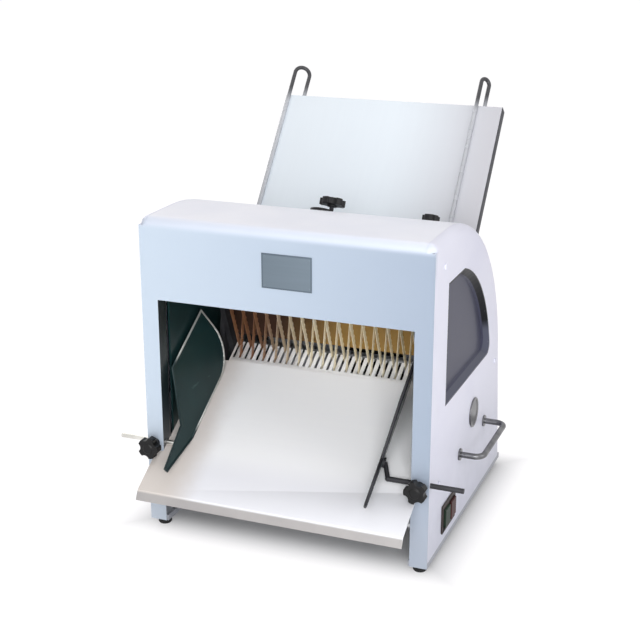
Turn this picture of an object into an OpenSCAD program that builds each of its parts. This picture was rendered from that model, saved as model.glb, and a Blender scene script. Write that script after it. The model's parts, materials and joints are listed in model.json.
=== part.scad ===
// Bench bread slicer: two criss-crossed frames of blades between a steep
// loading chute at the back and a sloping outlet tray at the front.
// Distances along Y are taken from the front face, heights from the floor.

/* [Body] */
// Width over the side covers
body_w = 534; // [520:1:560]
// Height of the flat roof
roof_z = 590; // [585:1:600]
// Distance from the front face to where the roof starts to curve down
crest_y = 108; // [104:0.5:112]
// Radius of the curved back
back_r = 361; // [356:0.5:366]
// Angle above level at which the curved back turns straight
back_turn = 9.1; // [7:0.1:11]
// Radius of the rounded edges of the covers and of the front fold
edge_r = 15; // [12:1:18]
// Thickness of the moulded side covers
cover_t = 3; // [2:0.5:4]
// Thickness of the front, roof and rear sheets
sheet_t = 2; // [1:0.5:3]
// Seam left between neighbouring panels
seam = 0.3; // [0.2:0.1:0.6]
// Width of each front leg
leg_w = 32; // [31:1:35]
// Height of the lower edge of the header
header_z = 442; // [430:1:455]
// Depth of the folded edges behind the legs and header
fold_d = 28; // [20:1:34]
// Angle on the back curve at which the roof sheet ends
roof_end = 61.5; // [59:0.5:64]
// Angle on the back curve at which the rear panel begins
rear_top = 42; // [38:0.5:42]
// Number of cooling slots in the rear panel
vent_n = 7; // [4:1:9]

/* [Base] */
// Height of the rubber feet below the base
foot_h = 14; // [10:1:20]
// Diameter of the rubber feet
foot_d = 25; // [20:1:30]
// Height of the base pan's edge
base_h = 10; // [8:1:14]
// Thickness of the base pan
base_t = 3; // [2:0.5:4]
// Distance from the front face to the closed part of the base pan
base_open = 150; // [120:5:170]
// Distance of the feet from the base's edges
foot_in = 18; // [16:1:24]

/* [Side plates] */
// Thickness of the side plates
plate_t = 3; // [2.5:0.5:4]
// Distance from the front face to the front edge of the side plates
plate_y = 40; // [36:1:50]
// Diameter of the tie bars between the side plates
tie_d = 16; // [12:1:20]
// Diameter of the spacers that carry the covers
spacer_d = 16; // [12:1:20]
// Diameter of the cover screws
screw_d = 5; // [4:0.5:6]

/* [Blades] */
// Least room between a side plate and the outermost blade's cut
blade_room = 40; // [36:1:42]
// Thickness of a slice, which is the pitch of the blades
slice = 12; // [11:0.25:12]
// Width of a blade
blade_w = 12; // [10:0.5:14]
// Thickness of a blade
blade_t = 0.6; // [0.5:0.1:1]
// Pitch of the teeth along a blade
tooth_p = 12; // [10:1:16]
// Depth of the teeth
tooth_d = 2.2; // [1:0.1:3]
// Distance of the crossing line of the blades from the front face
cross_y = 216; // [212:1:220]
// Height of the crossing line of the blades
cross_z = 322; // [318:1:326]
// Lean of the front frame towards the front
front_lean = 23; // [21:0.5:25]
// Lean of the rear frame towards the back
rear_lean = 11; // [9:0.5:13]
// Reach of the front frame above the crossing line
front_up = 207; // [195:1:215]
// Reach of the front frame below the crossing line
front_down = 138; // [130:1:146]
// Reach of the rear frame above the crossing line
rear_up = 194; // [185:1:205]
// Reach of the rear frame below the crossing line
rear_down = 129; // [122:1:134]
// Side of the square rails
rail = 20; // [16:1:22]
// Thickness of the side bars of the frames
bar_t = 10; // [8:1:10]
// Height of a blade clamp
clamp_h = 8; // [6:1:10]
// Stroke of each frame from its middle position
stroke = 20; // [15:1:22]
// Clearance of the rails in the slots that guide them
slot_gap = 0.4; // [0.2:0.1:0.8]

/* [Drive] */
// Distance of the crankshaft from the front face
crank_y = 234; // [230:1:238]
// Height of the crankshaft
crank_z = 85; // [82:1:90]
// Diameter of the crankshaft
shaft_d = 25; // [20:1:28]
// Radius of the eccentric discs
sheave_r = 33; // [33:1:35]
// Width of the strap around an eccentric
strap_w = 8; // [6:1:9]
// Thickness of the rods and eccentrics
rod_t = 7.5; // [6:0.5:8]
// Gap between parts that run side by side
side_gap = 0.5; // [0.4:0.1:1]
// Width of the rod's shank
shank_w = 16; // [12:1:20]
// Diameter of the wrist pins
wrist_d = 12; // [10:1:14]
// Running clearance of shafts and bores
run_gap = 0.05; // [0.03:0.01:0.08]
// Pitch radius of the large pulley
big_r = 55; // [50:1:58]
// Pitch radius of the motor pulley
small_r = 25; // [22:1:28]
// Thickness of the belt
belt_t = 8; // [6:1:10]
// Width of the belt
belt_w = 12; // [10:1:14]
// Distance of the belt from the middle of the machine
belt_x = 170; // [165:1:180]
// Distance of the motor's shaft in front of the furthest point of the curved back
motor_in = 69; // [64:1:79]
// Diameter of the motor's housing without its fins
motor_d = 118; // [100:1:120]
// Height of the cooling fins
fin_h = 6; // [4:1:8]
// Length of the motor
motor_l = 200; // [160:5:220]
// Distance of the motor's shaft end from the middle of the machine
motor_x = 130; // [120:1:135]
// Diameter of the motor's shaft
motor_shaft_d = 19; // [14:1:22]

/* [Outlet] */
// Rise of the tray for each unit of depth
tray_rise = 0.6; // [0.58:0.01:0.62]
// Height of the tray at the front face
tray_z = 157; // [152:1:162]
// Thickness of the tray and chute sheets
tray_t = 2; // [1.5:0.5:2.5]
// Distance from the front face to the roots of the comb
comb_y = 198; // [196:1:200]
// Length of the comb's fingers along the slope
comb_l = 40; // [36:1:44]
// Width of the slots between the fingers
comb_slot = 5; // [4:0.5:6]
// Reach of the tray in front of the front face
apron = 78; // [60:1:90]
// Distance that the tray's front part overlaps each leg
apron_over = 13; // [9:1:20]
// Length of the lip at the front of the tray
lip_l = 19; // [14:1:26]
// Lean of the lip from upright
lip_lean = 28; // [15:1:40]
// Depth of the tray's folded sides
tray_side = 22; // [16:1:30]

/* [Outlet guides] */
// Distance of the left guide's foot from its side plate
guide_left = 45; // [44:1:60]
// Distance of the right guide's foot from its side plate
guide_right = 67; // [46:1:75]
// Lean of the guide plates, away from the middle
guide_lean = 18; // [16:1:18]
// Height of the guide plates
guide_h = 120; // [100:1:120]
// Thickness of the guides
guide_t = 3; // [2:0.5:4]
// Distance of the guides' front edge along the tray
guide_front = 33; // [31:1:36]
// Reach of the guides' toe in front of the machine's face
toe_l = 58; // [40:1:60]
// Height of a guide's toe at its tip
toe_h = 8; // [5:1:12]
// Height of the guides' front edge where the toe starts
toe_rise = 40; // [36:1:50]
// Height of the toe's tip above the tray
toe_up = 22; // [15:1:24]
// Distance that the guides' front edge leans back
guide_rake = 68; // [60:1:75]
// Distance of the guides' rear edge along the tray
guide_back = 243; // [220:1:245]
// Radius of the guides' lower rear corner
guide_r = 70; // [50:1:80]
// Gap between a guide and the tray
guide_gap = 0.6; // [0.4:0.1:1]
// Diameter of the guide rods
rod_d = 9; // [8:0.5:10]
// Distance that the guide rods stand out beside the covers
rod_out = 58; // [48:1:68]
// Distance of the guide rods from the front face
rod_y = 9; // [8.5:0.5:11]
// Clearance of the guide rods above the tray
rod_gap = 0.7; // [0.4:0.1:2]
// Length of the block that clamps a guide rod
block_l = 22; // [18:1:24]
// Height of the block that clamps a guide rod
block_h = 24; // [20:1:28]
// Diameter of the star knobs
knob_d = 40; // [36:1:40]
// Thickness of the star knobs
knob_t = 15; // [12:1:18]
// Length of the neck under a star knob
neck_l = 16; // [16:1:20]
// Diameter of a star knob's screw
stud_d = 8; // [6:1:8]

/* [Chute] */
// Distance of the chute's upper edge from the front face
chute_y = 569; // [560:1:575]
// Height of the chute's upper edge
chute_z = 722; // [715:1:730]
// Slope of the chute
chute_slope = 51.1; // [50.5:0.1:51.5]
// Length of the chute
chute_l = 527; // [515:1:530]
// Gap between the chute and the side plates
chute_gap = 8; // [5:0.5:10]
// Depth of the chute's folded sides
chute_side = 20; // [18:1:26]
// Depth of the fold along the upper edge
chute_hem = 7; // [4:1:8]
// Diameter of the loaf guides' rods
loaf_d = 8; // [7:0.5:9]
// Distance of the left loaf guide from the chute's left edge
loaf_left_in = 6; // [5:1:26]
// Distance of the right loaf guide from the chute's right edge
loaf_right_in = 51; // [42:1:62]
// Straight rise of a loaf guide above the chute's edge
hook_rise = 52; // [40:1:60]
// Sideways reach of the left hook
hook_left = 26; // [20:1:30]
// Sideways reach of the right hook
hook_right = 12; // [10:1:20]
// Reach of a hook towards the underside of the chute
hook_depth = 17; // [17:0.5:18]
// Distance of the cross rod from the chute's upper edge
cross_rod_in = 25; // [20:1:40]
// Length of a loaf guide on the chute
loaf_l = 430; // [380:5:450]

/* [Loading gate] */
// Angle on the back curve of the gate's lower edge
gate_low = 52; // [50:0.5:54]
// Angle on the back curve of the gate's upper edge
gate_high = 75; // [74:0.5:77]
// Angle on the back curve of the gate's studs
gate_stud = 64.5; // [64:0.5:66]
// Angle through which the gate opens
gate_open = 8; // [6:0.5:9]
// Gap between the gate and the roof sheet
gate_gap = 0.5; // [0.4:0.1:1]
// Place of the left gate knob
gate_knob_l = -13; // [-60:1:0]
// Distance of the right gate knob from the roof's right edge
gate_knob_in = 74; // [66:1:100]
// Lift of the left gate knob above the roof
gate_lift_l = 15; // [1:1:20]
// Lift of the right gate knob above the roof
gate_lift_r = 0.5; // [0.5:0.5:10]
// Diameter of the left gate knob
gate_knob_dl = 48; // [40:1:50]
// Diameter of the right gate knob
gate_knob_dr = 32; // [28:1:40]
// Thickness of the gate knobs
gate_knob_t = 12; // [10:1:15]
// Length of the neck under a gate knob
gate_neck = 3; // [2:0.5:6]

/* [Side fittings] */
// Depth of the smoked windows' recess
window_d = 12; // [8:1:14]
// Width of the sloping border of a window
window_rim = 11; // [8:1:14]
// Distance of a window's front edge from the front face
window_y = 84; // [80:1:95]
// Height of a window's lower edge
window_z0 = 284; // [280:1:295]
// Height of a window's upper edge
window_z1 = 504; // [490:1:508]
// Distance of a window's curved edge inside the curved back
window_in = 76; // [72:1:85]
// Radius of a window's lower rear corner
window_round = 18; // [14:1:24]
// Height of the carry handles
handle_z = 151; // [145:1:165]
// Distance of the carry handle's front foot from the front face
handle_y = 190; // [185:1:200]
// Distance between the feet of a carry handle
handle_l = 170; // [140:1:180]
// Reach of the carry handles
handle_out = 48; // [42:1:55]
// Diameter of the carry handles
handle_d = 11; // [9:0.5:13]
// Distance of the switch from the front face
switch_y = 122; // [118:1:126]
// Height of the switch
switch_z = 69; // [66:1:75]
// Length of the switch plate
switch_l = 83; // [76:1:88]
// Height of the switch plate
switch_h = 54; // [48:1:58]
// Travel of the switch buttons
button_go = 3.5; // [2:0.5:4]
// Distance of the round cap from the front face
cap_y = 278; // [270:1:285]
// Height of the round cap
cap_z = 200; // [195:1:210]
// Diameter of the round cap
cap_d = 56; // [48:1:60]
// Diameter of the cable gland's hole
gland_d = 16; // [12:1:20]

/* [Hidden] */
$fn = 96;
half_w = body_w / 2;
cover_in = half_w - cover_t;
base_z = foot_h + base_h;
arc_z = roof_z - back_r;
panel_half = half_w - edge_r;
leg_in = half_w - leg_w;
plate_half = leg_in;
plate_out = plate_half + plate_t;
big = 2 * back_r;
back_len = 2 * arc_z;
back_y = crest_y + back_r;
back_run = (arc_z + back_r * sin(back_turn) - base_z) / cos(back_turn);
lap = 1;
slim = 0.04;

blade_n = 2 * floor((plate_half - blade_room) / slice);
blade_span = (blade_n - 1) * slice;
front_bar_x = blade_span / 2 + 0.75 * slice;
rear_bar_x = front_bar_x + bar_t + 2;
rail_edge = (rail + clamp_h) / 2;
front_rod_x = plate_out + rail / 4 + side_gap;
front_end = front_rod_x - side_gap;
rear_rod_x = front_rod_x + rod_t + 3 * side_gap;
rear_end = rear_rod_x - side_gap;
shaft_half = rear_rod_x + rod_t + 1;

motor_y = back_y - motor_in;
motor_z = base_z + motor_d / 2 + fin_h + 1;
pulley_w = belt_w + 10;
hub_gap = 0.02;

tray_slope = atan(tray_rise);
apron_gap = 3;
wall_gap = 0.5;
foot_r = 9;
foot_t = 4;
foot_up = foot_r + 3;
foot_in_u = guide_front + foot_r;
rod_bend = 20;
knuckle = 0.3;
rod_end = half_w + rod_out;
apron_half = leg_in + apron_over;
rod_z = tray_z + tray_rise * rod_y + (rod_d / 2 + rod_gap) / cos(tray_slope);

chute_half = plate_half - chute_gap;
chute_w = 2 * chute_half;
loaf_left = loaf_left_in - chute_half;
loaf_right = chute_half - loaf_right_in;
gate_knob_r = panel_half - gate_knob_in;
loaf_lift = loaf_d / 2 + seam;
cross_rod_z = loaf_lift - hook_depth;
sleeve_l = 20;
hook_in = 0.5;

gate_r = back_r - sheet_t - gate_gap;
gate_half = plate_half - 8;
slot_end = 0.8;

// Middle of the whole depth, from the lip to the back of the loaf hooks
lip_front = -apron - lip_l * sin(lip_lean);
hook_mid_y = chute_y + hook_rise * cos(chute_slope)
    + (hook_depth / 2 - loaf_lift) * sin(chute_slope);
hook_back = hook_mid_y + max(hook_swing(hook_left), hook_swing(hook_right)) + loaf_d / 2;
mid_y = (lip_front + hook_back) / 2;

// Radius, turn and depth of a hook that reaches sideways by a distance
function hook_r(side) = norm([side, hook_depth]) / 2;
function hook_turn(side) = atan2(hook_depth, side);
function hook_swing(side) = hook_r(side)
    * norm([cos(chute_slope), sin(hook_turn(side)) * sin(chute_slope)]);

painted = [0.90, 0.93, 0.96];
lilac = [0.89, 0.89, 0.94];
steel = [0.78, 0.80, 0.83];
dark = [0.13, 0.16, 0.17];
black = [0.08, 0.08, 0.09];
smoked = [0.30, 0.30, 0.35];
iron = [0.40, 0.42, 0.45];

// Puts the middle of the machine's depth on the origin
module place() { translate([0, -mid_y, 0]) children(); }

module both_sides() {
    children();
    mirror([1, 0, 0]) children();
}

// Extrudes an outline drawn as depth and height from x0 to x1
module slab(x0, x1) {
    translate([x0, 0, 0]) rotate([90, 0, 90]) linear_extrude(x1 - x0) children();
}

// A round bar along X
module bar_x(x0, x1, y, z, d) {
    translate([x0, y, z]) rotate([0, 90, 0]) cylinder(d = d, h = x1 - x0);
}

// Turns what is drawn at the crest so that it meets the end of the back curve
module at_back() {
    translate([0, crest_y, arc_z]) rotate([back_turn - 90, 0, 0])
        translate([0, -crest_y, -arc_z]) children();
}

// Cuts the back curve off at its end
module to_back() {
    difference() {
        children();
        at_back() translate([-big, crest_y, -big]) cube([2 * big, big, 3 * big]);
    }
}

// Puts what is drawn at the origin, pointing up, on the back curve at an angle
module on_curve(x, angle, r) {
    translate([x, crest_y + r * cos(angle), arc_z + r * sin(angle)])
        rotate([angle - 90, 0, 0]) children();
}

module wedge(a0, a1) {
    polygon([
        [crest_y, arc_z],
        [crest_y + big * cos(a0), arc_z + big * sin(a0)],
        [crest_y + big * sqrt(2) * cos((a0 + a1) / 2), arc_z + big * sqrt(2) * sin((a0 + a1) / 2)],
        [crest_y + big * cos(a1), arc_z + big * sin(a1)]
    ]);
}

// Band of the back curve between two radii and two angles
module curve_band(r0, r1, a0, a1) {
    intersection() {
        translate([crest_y, arc_z]) difference() {
            circle(r1);
            circle(r0);
        }
        wedge(a0, a1);
    }
}

// Flat side of the machine from x0 to x1, set in by d, from depth y0 and height z0
module side_sheet(x0, x1, d, y0, z0) {
    r = back_r - d;
    end = [crest_y + r * cos(back_turn), arc_z + r * sin(back_turn)];
    slab(x0, x1) polygon([
        [y0, z0], [y0, roof_z - d], [crest_y, roof_z - d], end,
        [end[0] + (end[1] - z0) * tan(back_turn), z0]
    ]);
    slab(x0, x1) intersection() {
        translate([crest_y, arc_z]) circle(r);
        wedge(back_turn, 90);
    }
}

module quarter_ring(r, t) {
    intersection() {
        difference() {
            circle(r);
            circle(r - t);
        }
        square(r);
    }
}

module beyond(x, l) { translate([x, -big, -big]) cube([l, 3 * big, 3 * big]); }

module below(z) { translate([-big, -big, z - big]) cube([2 * big, 3 * big, big]); }

module screw_places() {
    for (p = [[58, 150], [58, roof_z - 50], [back_y - 39, arc_z + 21], [back_y - 49, base_z + 36]])
        translate([0, p[0], p[1]]) children();
}

// Pan with folded edges, open at the front between the legs
module base_pan() color(painted) {
    difference() {
        slab(-half_w, half_w) base_outline(0, base_z);
        base_notch(0);
        difference() {
            slab(-half_w + base_t, half_w - base_t) base_outline(base_t, base_z - base_t);
            base_notch(base_t);
        }
    }
}

module base_notch(d) {
    wide = leg_in - base_t + d;
    translate([-wide, -1, foot_h - base_t - 1]) cube([2 * wide, base_open + 1 + d, base_h + base_t + 2]);
}

module base_outline(d, top) {
    y_back = crest_y + back_r * cos(back_turn) + (arc_z + back_r * sin(back_turn)) * tan(back_turn)
        - base_z * tan(back_turn) - sheet_t;
    translate([sheet_t + d, foot_h - d]) square([y_back - sheet_t - 2 * d, top - foot_h + d]);
}

module feet() color(black) {
    y_far = crest_y + back_r - foot_in;
    both_sides() for (y = [sheet_t + foot_in, y_far]) translate([half_w - foot_in, y, 0]) {
        cylinder(d1 = foot_d - 4, d2 = foot_d, h = 3);
        translate([0, 0, 3]) cylinder(d = foot_d, h = base_z - base_t - 3);
    }
}

module frame_slot(lean, w) {
    translate([cross_y, cross_z]) rotate(lean) translate([0, w])
        square([rail + 2 * slot_gap, rail + 2 * (stroke + slot_gap + 1)], center = true);
}

module side_plate() difference() {
    side_sheet(plate_half, plate_out, sheet_t, plate_y, base_z);
    slab(plate_half - 1, plate_out + 1) {
        frame_slot(front_lean, front_up);
        frame_slot(front_lean, -front_down);
        frame_slot(-rear_lean, rear_up);
        frame_slot(-rear_lean, -rear_down);
    }
    bar_x(plate_half - 1, plate_out + 1, crank_y, crank_z, shaft_d + 6);
    screw_places() bar_x(plate_half - 1, plate_out + 1, 0, 0, screw_d);
}

module left_side_plate() color(dark) mirror([1, 0, 0]) side_plate();
module right_side_plate() color(dark) side_plate();

module tie_bars() color(steel) {
    for (p = [[66, header_z + 36], [66, base_z + 36], [back_y - 17, arc_z - 14]])
        bar_x(-plate_half, plate_half, p[0], p[1], tie_d);
}

// Header, legs, folded edges and roof, bent from one sheet
module front_panel() color(painted) {
    fold_z = roof_z - edge_r;
    difference() {
        union() {
            rotate([90, 0, 0]) translate([0, 0, -sheet_t]) linear_extrude(sheet_t) difference() {
                translate([-half_w, foot_h]) square([body_w, fold_z - foot_h]);
                translate([-leg_in, foot_h - 1]) square([2 * leg_in, header_z - foot_h + 1]);
            }
            both_sides() translate([leg_in, 0, base_z]) cube([sheet_t, fold_d, header_z - base_z]);
            translate([-leg_in - sheet_t, 0, header_z]) cube([2 * (leg_in + sheet_t), fold_d, sheet_t]);
            slab(-panel_half, panel_half) {
                translate([edge_r, fold_z]) mirror([1, 0]) quarter_ring(edge_r, sheet_t);
                translate([edge_r, roof_z - sheet_t]) square([crest_y - edge_r, sheet_t]);
                curve_band(back_r - sheet_t, back_r, roof_end, 90);
            }
        }
        both_sides() {
            translate([block_x(), 0, rod_z]) rotate([-90, 0, 0])
                translate([0, 0, -1]) cylinder(d = stud_d + 2 * wall_gap, h = sheet_t + 2);
            bar_x(leg_in - 1, leg_in + sheet_t + 1, rod_y, rod_z, rod_d + 2 * wall_gap);
        }
        for (x = [gate_knob_l, gate_knob_r]) slab(x - stud_d / 2 - wall_gap, x + stud_d / 2 + wall_gap)
            curve_band(back_r - 2 * sheet_t, back_r + sheet_t,
                gate_stud - slot_end, gate_stud + gate_open + slot_end);
    }
}

module rear_panel() color(painted) {
    difference() {
        union() {
            to_back() slab(-half_w, half_w) curve_band(back_r - sheet_t, back_r, 0, rear_top);
            at_back() translate([-half_w, crest_y - lap, roof_z - sheet_t + slim])
                cube([body_w, back_len, sheet_t - 2 * slim]);
        }
        both_sides() beyond(panel_half, edge_r + 1);
        below(base_z);
        on_chute() both_sides() translate([chute_half - tray_t - wall_gap, -chute_l, -chute_side - wall_gap])
            cube([tray_t + 2 * wall_gap, chute_l, chute_side]);
        at_back() for (i = [0 : vent_n - 1])
            translate([-60, crest_y + back_run * 0.226 + 14 * i, roof_z - 2 * sheet_t])
                cube([120, 5, 3 * sheet_t]);
        gland_place() translate([0, 0, -2 * sheet_t]) cylinder(d = gland_d, h = 4 * sheet_t);
    }
}

module gland_place() {
    at_back() translate([72 - panel_half, crest_y + back_run - 55, roof_z]) children();
}

module cable_gland() color(black) {
    gland_place() difference() {
        union() {
            cylinder(d = gland_d + 10, h = 5, $fn = 6);
            translate([0, 0, 5]) cylinder(d = gland_d, h = 10);
            translate([0, 0, -12]) cylinder(d = gland_d - 2 * hub_gap, h = 12);
        }
        translate([0, 0, -13]) cylinder(d = gland_d - 7, h = 30);
    }
}

// Rounded edge of a cover along the roof, the back curve and the straight back,
// with a flat band that laps onto the cover's side
module cover_edge() {
    module section(r, d = 0) {
        translate([r - edge_r, half_w - edge_r]) quarter_ring(edge_r - d, cover_t - 2 * d);
    }
    module band(r, d = 0) {
        translate([r - edge_r - 2 * lap, cover_in + d]) square([2 * lap, cover_t - 2 * d]);
    }
    module straight(y, l) { translate([0, y, 0]) rotate(240, [1, 1, 1]) linear_extrude(l) children(); }
    module bend(y, z, a0, a1) {
        translate([0, y, z]) rotate([90, 0, 90]) rotate(a0) rotate_extrude(angle = a1 - a0) children();
    }
    straight(edge_r, crest_y - edge_r) section(roof_z);
    straight(sheet_t + seam, crest_y - sheet_t - seam) band(roof_z);
    to_back() bend(crest_y, arc_z, 0, 90) section(back_r);
    to_back() bend(crest_y, arc_z, 0, 90) band(back_r);
    at_back() straight(crest_y - lap, back_len) section(roof_z, slim);
    at_back() straight(crest_y - lap, back_len) band(roof_z, slim);
    bend(edge_r, roof_z - edge_r, 90, 180) section(edge_r);
}

// Outline of a window, set in by d, with its lower rear corner rounded
module window_outline(d) {
    r = back_r - window_in - d;
    low = window_z0 + d - arc_z;
    corner_z = low + window_round;
    corner = [sqrt((r - window_round) ^ 2 - corner_z ^ 2), corner_z];
    difference() {
        intersection() {
            translate([window_y + d, window_z0 + d])
                square([back_r, window_z1 - window_z0 - 2 * d]);
            translate([crest_y, arc_z]) circle(r);
        }
        translate([crest_y, arc_z]) difference() {
            polygon([
                corner, [corner[0], low - 1], [corner[0] + 3 * window_round, low - 1],
                corner * (r + window_round) / norm(corner)
            ]);
            translate(corner) circle(window_round);
        }
    }
}

module side_cover() {
    difference() {
        union() {
            side_sheet(cover_in, half_w, edge_r + lap, sheet_t + seam, base_z);
            cover_edge();
        }
        beyond(panel_half - 1, 1 + seam);
        below(base_z);
        slab(cover_in - 1, half_w + 1) window_outline(0);
        bar_x(cover_in - 1, half_w + 1, rod_y, rod_z, rod_d + 2 * wall_gap);
        screw_places() bar_x(cover_in - 1, half_w + 1, 0, 0, screw_d + wall_gap);
    }
}

module left_cover() color(lilac) mirror([1, 0, 0]) side_cover();

module right_cover() color(lilac) difference() {
    side_cover();
    slab(cover_in - 1, half_w + 1) translate([switch_y, switch_z]) square(switch_hole(), center = true);
    bar_x(cover_in - 1, half_w + 1, cap_y, cap_z, cap_d - 14);
}

module cover_spacers() color(iron) both_sides() screw_places() difference() {
    bar_x(plate_out, cover_in, 0, 0, spacer_d);
    bar_x(plate_out - 1, cover_in + 1, 0, 0, screw_d);
}

module cover_screws() color(steel) both_sides() screw_places() {
    bar_x(cover_in - 12, half_w, 0, 0, screw_d - 2 * hub_gap);
    bar_x(half_w, half_w + 2.5, 0, 0, 2 * screw_d);
}

// Smoked pan set into the opening of a cover, with sloping borders
module side_window() {
    module pan(d, deep, top) hull() {
        slab(half_w - 0.5, half_w + top) window_outline(seam + d);
        slab(half_w - deep, half_w - deep + 0.5) window_outline(window_rim + d);
    }
    difference() {
        pan(0, window_d + cover_t, 0);
        pan(cover_t, window_d, 1);
    }
}

module left_window() color(smoked) mirror([1, 0, 0]) side_window();
module right_window() color(smoked) side_window();

module carry_handle() {
    bend_r = 1.5 * handle_d;
    grip_x = half_w + handle_out - handle_d / 2;
    translate([0, handle_y, handle_z]) {
        for (i = [0, 1]) translate([0, i * handle_l, 0]) {
            bar_x(half_w, half_w + 3, 0, 0, 2 * handle_d);
            bar_x(half_w + 3, grip_x - bend_r, 0, 0, handle_d);
        }
        translate([grip_x - bend_r, bend_r, 0]) rotate(-90)
            rotate_extrude(angle = 90) translate([bend_r, 0]) circle(d = handle_d);
        translate([grip_x - bend_r, handle_l - bend_r, 0])
            rotate_extrude(angle = 90) translate([bend_r, 0]) circle(d = handle_d);
        translate([grip_x, bend_r, 0]) rotate([-90, 0, 0]) cylinder(d = handle_d, h = handle_l - 2 * bend_r);
    }
}

module left_handle() color(iron) mirror([1, 0, 0]) carry_handle();
module right_handle() color(iron) carry_handle();

// Plain dished cap that closes a hole in the right cover
module side_cap() color(iron) {
    bar_x(half_w - cover_t, half_w, cap_y, cap_z, cap_d - 14 - 2 * hub_gap);
    difference() {
        bar_x(half_w, half_w + 3, cap_y, cap_z, cap_d);
        bar_x(half_w + 1.5, half_w + 4, cap_y, cap_z, cap_d - 8);
    }
}

function switch_hole() = [switch_l - 12, switch_h - 12];
function button_size() = [switch_l / 2 - 12, switch_h - 20];
function button_y(side) = switch_y + side * switch_l / 4.6;

module button_wells(grow) {
    for (side = [-1, 1]) translate([button_y(side), switch_z])
        square(button_size() + [2 * grow, 2 * grow], center = true);
}

module switch_box() color(black) difference() {
    union() {
        slab(half_w, half_w + 3) translate([switch_y, switch_z]) square([switch_l, switch_h], center = true);
        slab(half_w - 26, half_w) translate([switch_y, switch_z])
            square(switch_hole() - [wall_gap, wall_gap], center = true);
    }
    slab(half_w - 15, half_w + 4) button_wells(seam);
}

module switch_button(side) {
    slab(half_w - 15 + button_go + seam, half_w + 3 + button_go + 0.5) translate([button_y(side), switch_z])
        square(button_size(), center = true);
}

module start_button() color([0.10, 0.32, 0.16]) switch_button(-1);
module stop_button() color([0.42, 0.10, 0.09]) switch_button(1);

// Puts what is drawn flat on the slope of the tray
module on_tray() translate([0, 0, tray_z]) rotate([tray_slope, 0, 0]) children();

module outlet_tray() color(steel) {
    root = comb_y / cos(tray_slope);
    tip = root + comb_l;
    front = -apron / cos(tray_slope);
    inner = -apron_gap / cos(tray_slope);
    side_from = (plate_y + 4) / cos(tray_slope);
    difference() {
        on_tray() translate([0, 0, -tray_t]) linear_extrude(tray_t) difference() {
            union() {
                translate([-plate_half, inner]) square([2 * plate_half, tip - inner]);
                translate([-apron_half, front]) square([2 * apron_half, inner - front]);
            }
            for (i = [0 : blade_n - 1]) translate([i * slice - blade_span / 2, tip])
                square([comb_slot, 2 * comb_l], center = true);
            both_sides() translate([blade_span / 2 + slice / 2, root - rail / 2])
                square([plate_half, comb_l + rail]);
        }
    }
    on_tray() both_sides() translate([plate_half - tray_t, side_from, -tray_side])
        cube([tray_t, root - rail / 2 - side_from, tray_side - tray_t]);
    translate([0, -apron, tray_z - apron * tray_rise]) rotate([-lip_lean, 0, 0])
        translate([-apron_half, 0, -lip_l]) cube([2 * apron_half, tray_t, lip_l]);
}

function block_x() = half_w - leg_w / 2;

// Block behind a leg that the rod passes through
module rod_block() difference() {
    translate([block_x() - block_l / 2, sheet_t, rod_z - block_h / 2])
        cube([block_l, 2 * (rod_y - sheet_t) + 2, block_h]);
    bar_x(block_x() - block_l, block_x() + block_l, rod_y, rod_z, rod_d + 2 * run_gap);
    translate([block_x(), 0, rod_z]) rotate([-90, 0, 0]) cylinder(d = stud_d + 2 * run_gap, h = rod_y);
}

module left_rod_block() color(iron) mirror([1, 0, 0]) rod_block();
module right_rod_block() color(iron) rod_block();

// Puts what is drawn in the plane of a guide, leaning to the right, on the tray
module at_guide(x) {
    translate([x, 0, tray_z]) rotate([tray_slope, 0, 0]) rotate([0, guide_lean, 0]) children();
}

// A round bar from point a to point b
module strut(a, b, d) {
    v = b - a;
    translate(a) rotate([0, acos(v[2] / norm(v)), atan2(v[1], v[0])]) cylinder(d = d, h = norm(v));
}

// Point at the machine for the distances out, along and up of a guide plate that stands at x
function on_guide(x, out, along, up) = let (w = up * cos(guide_lean) - out * sin(guide_lean)) [
    x + out * cos(guide_lean) + up * sin(guide_lean),
    along * cos(tray_slope) - w * sin(tray_slope),
    tray_z + along * sin(tray_slope) + w * cos(tray_slope)
];

// Rod through the leg, bent back to a round foot that holds the guide plate
module guide_rod(x) {
    bend = [x + guide_t + rod_bend, rod_y, rod_z];
    bar_x(bend[0], rod_end, rod_y, rod_z, rod_d);
    translate(bend) sphere(d = rod_d + 2 * knuckle);
    strut(bend, on_guide(x, guide_t + foot_t + 0.5, foot_in_u, foot_up), rod_d - 1);
    at_guide(x) translate([guide_t, foot_in_u, foot_up]) rotate([0, 90, 0]) cylinder(r = foot_r, h = foot_t);
}

// Plate with an upright front edge and a thin toe that reaches out over the tray
module guide_plate(x) {
    low = guide_gap + guide_t * sin(guide_lean);
    at_guide(x) rotate([90, 0, 90]) linear_extrude(guide_t) difference() {
        polygon([
            [-toe_l, toe_up + toe_h], [-toe_l, toe_up], [guide_front, low], [guide_back, low],
            [guide_back, guide_h], [guide_front + guide_rake, guide_h], [guide_front, toe_rise]
        ]);
        translate([guide_back - guide_r, low]) difference() {
            square(2 * guide_r);
            translate([0, guide_r]) circle(guide_r);
            translate([-1, guide_r]) square(2 * guide_r);
        }
    }
}

module left_guide_rod() color(iron) mirror([1, 0, 0]) guide_rod(plate_half - guide_left);
module right_guide_rod() color(iron) guide_rod(plate_half - guide_right);
module left_guide_plate() color(dark) mirror([1, 0, 0]) guide_plate(plate_half - guide_left);
module right_guide_plate() color(dark) guide_plate(plate_half - guide_right);

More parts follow.
